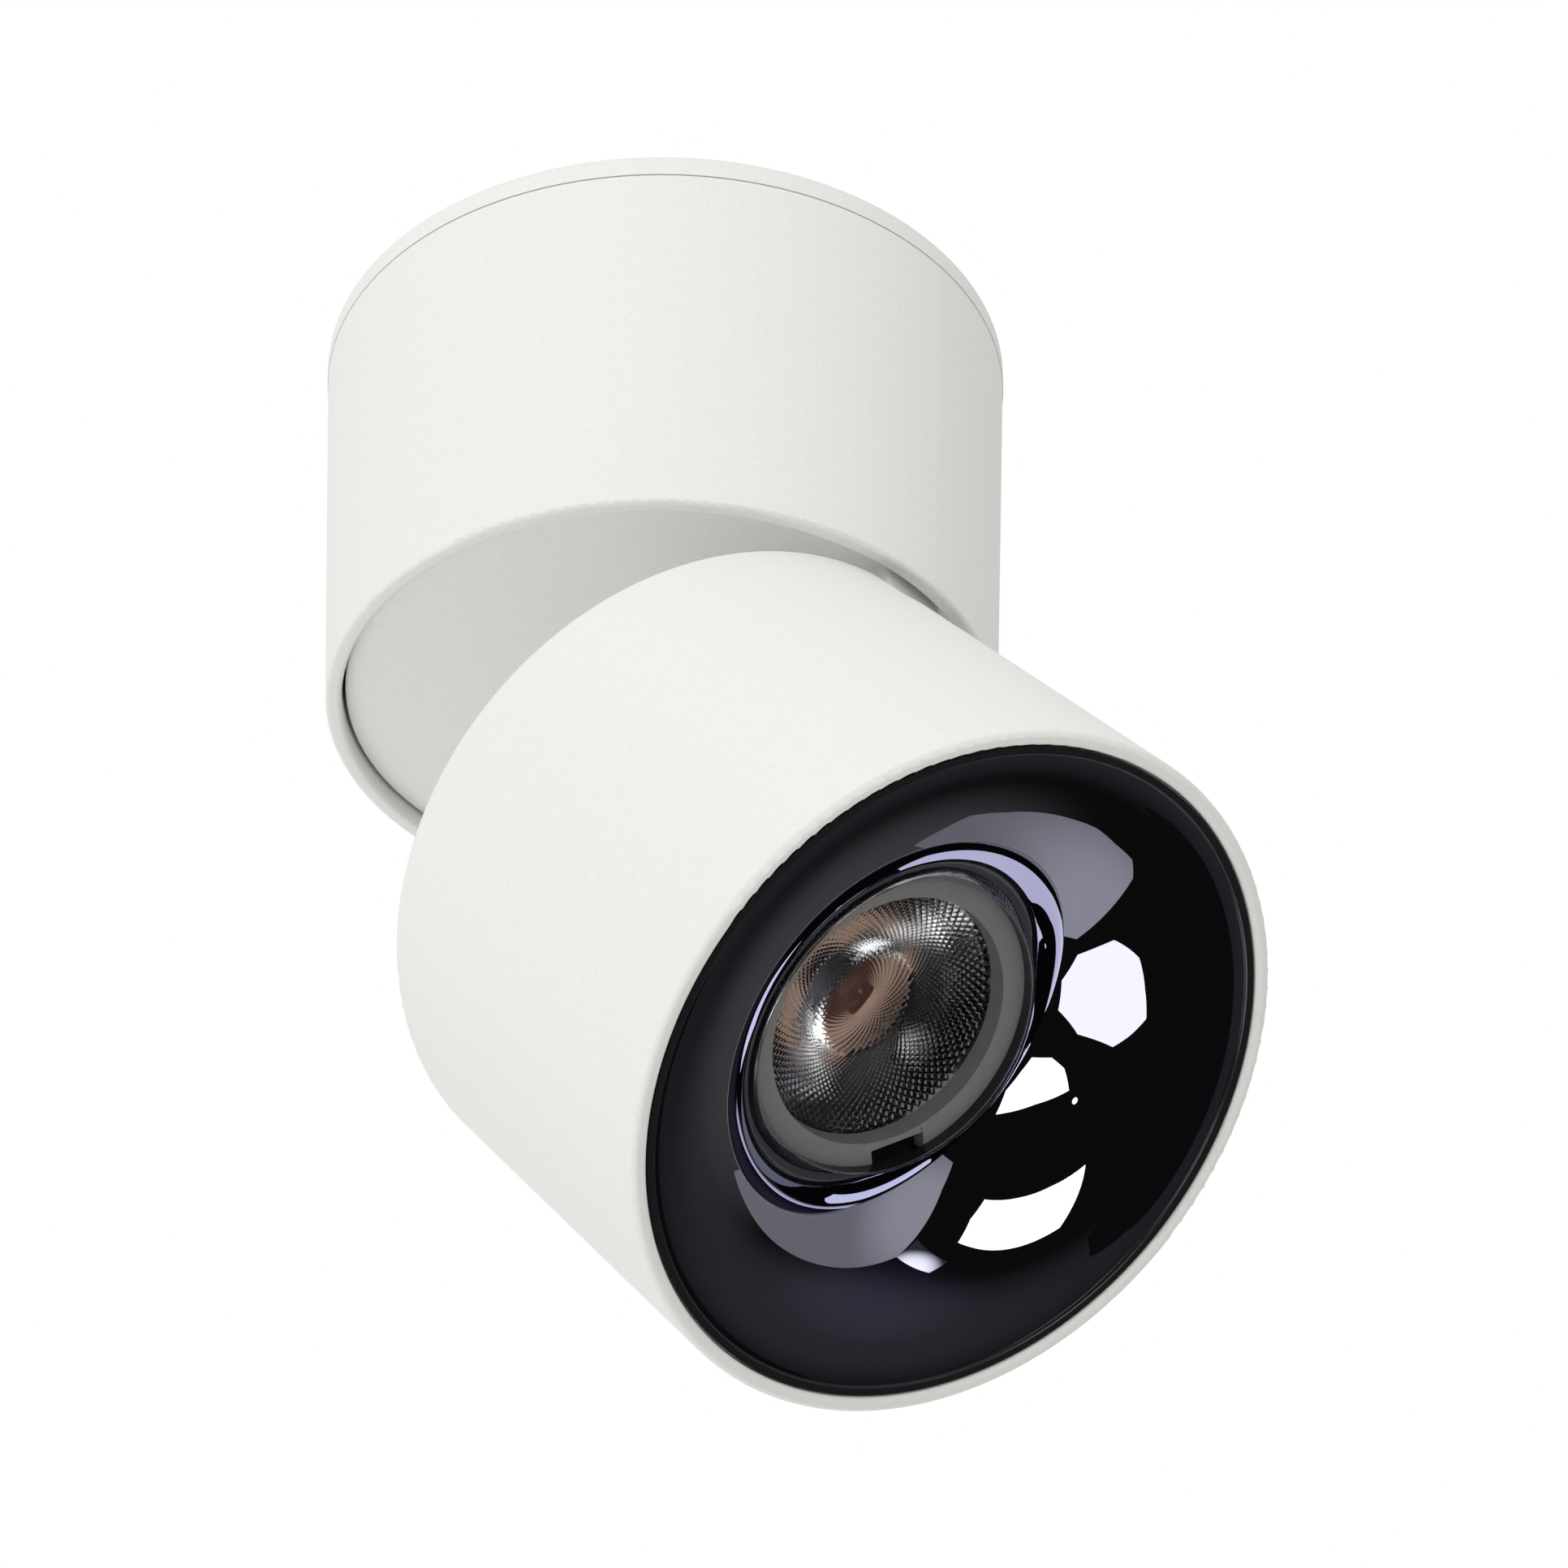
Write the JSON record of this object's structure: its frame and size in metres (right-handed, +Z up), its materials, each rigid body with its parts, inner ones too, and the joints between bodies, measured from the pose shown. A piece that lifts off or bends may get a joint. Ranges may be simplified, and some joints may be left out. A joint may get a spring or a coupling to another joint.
{
  "type": "surface mounted ceiling spotlight",
  "caption": "Drum base with a recessed turning disc and a folding drum head: hinged at the rim, it holds a dark mirror reflector round a faceted lens.",
  "frame": {"origin": "centre of the ceiling face", "axes": "+Z points up into the ceiling, the hinge axis runs along Y, and the head tips away from the swivel axis towards +X"},
  "size_m": [0.1385, 0.1, 0.1766],
  "materials": {
    "white_coat": "fine matt powder coat, warm white",
    "grommet_rubber": "matt",
    "zinc_steel": "zinc plated",
    "screw_steel": "satin plated",
    "brass_lug": "satin",
    "bearing_nylon": "matt",
    "driver_plastic": "fine matt",
    "board_green": "satin",
    "transformer_dark": "satin",
    "terminal_plastic": "satin",
    "wire_jacket": "satin",
    "sink_aluminium": "as cast",
    "pad_grey": "matt",
    "board_ceramic": "satin white",
    "phosphor": "matt orange",
    "holder_white": "satin",
    "lens_clear": "clear, gloss facets",
    "holder_black": "satin black",
    "black_mirror": "dark mirror, metallised"
  },
  "bodies": {
    "base": {"mounting_plate": "white_coat", "cable_grommet": "grommet_rubber", "base_housing": "white_coat", "swivel_bridge": "zinc_steel", "stop_pin": "zinc_steel", "standoffs": "zinc_steel", "driver_plate": "zinc_steel", "driver_plate_screws": "screw_steel", "driver_case": "driver_plastic", "driver_case_screws": "screw_steel", "driver_lid": "driver_plastic", "driver_board": "board_green", "driver_transformer": "transformer_dark", "driver_capacitors": "transformer_dark", "terminal_block": "terminal_plastic", "terminal_screws": "screw_steel", "cord_clamp": "terminal_plastic", "cord_clamp_screws": "screw_steel", "earth_lug": "brass_lug", "earth_screw": "screw_steel", "earth_wire": "wire_jacket", "supply_wires": "wire_jacket", "output_wires": "wire_jacket"},
    "swivel": {"swivel_disc": "white_coat", "friction_washer": "bearing_nylon", "disc_spring": "screw_steel", "hub_nut": "zinc_steel", "hinge_arm": "white_coat", "hinge_arm_screws": "screw_steel", "swivel_wires": "wire_jacket"},
    "head": {"head_shell": "white_coat", "hinge_bracket": "zinc_steel", "hinge_bracket_screws": "screw_steel", "hinge_pin": "screw_steel", "hinge_washers": "bearing_nylon", "heat_sink": "sink_aluminium", "heat_sink_screws": "screw_steel", "thermal_pad": "pad_grey", "cob_board": "board_ceramic", "cob_emitter": "phosphor", "cob_holder": "holder_white", "cob_holder_screws": "screw_steel", "lens": "lens_clear", "lens_holder": "holder_black", "lens_holder_screws": "screw_steel", "reflector": "black_mirror", "head_wires": "wire_jacket"}
  },
  "joints": [
    {"name": "swivel_turn", "type": "hinge", "parent": "base", "child": "swivel", "pos_m": [0, 0, -0.0555], "axis": [0, 0, 1], "range_deg": [-175, 175]},
    {"name": "head_tilt", "type": "hinge", "parent": "swivel", "child": "head", "pos_m": [0.0425, 0, -0.0688], "axis": [0, -1, 0], "range_deg": [-39.8, 50.2]}
  ]
}
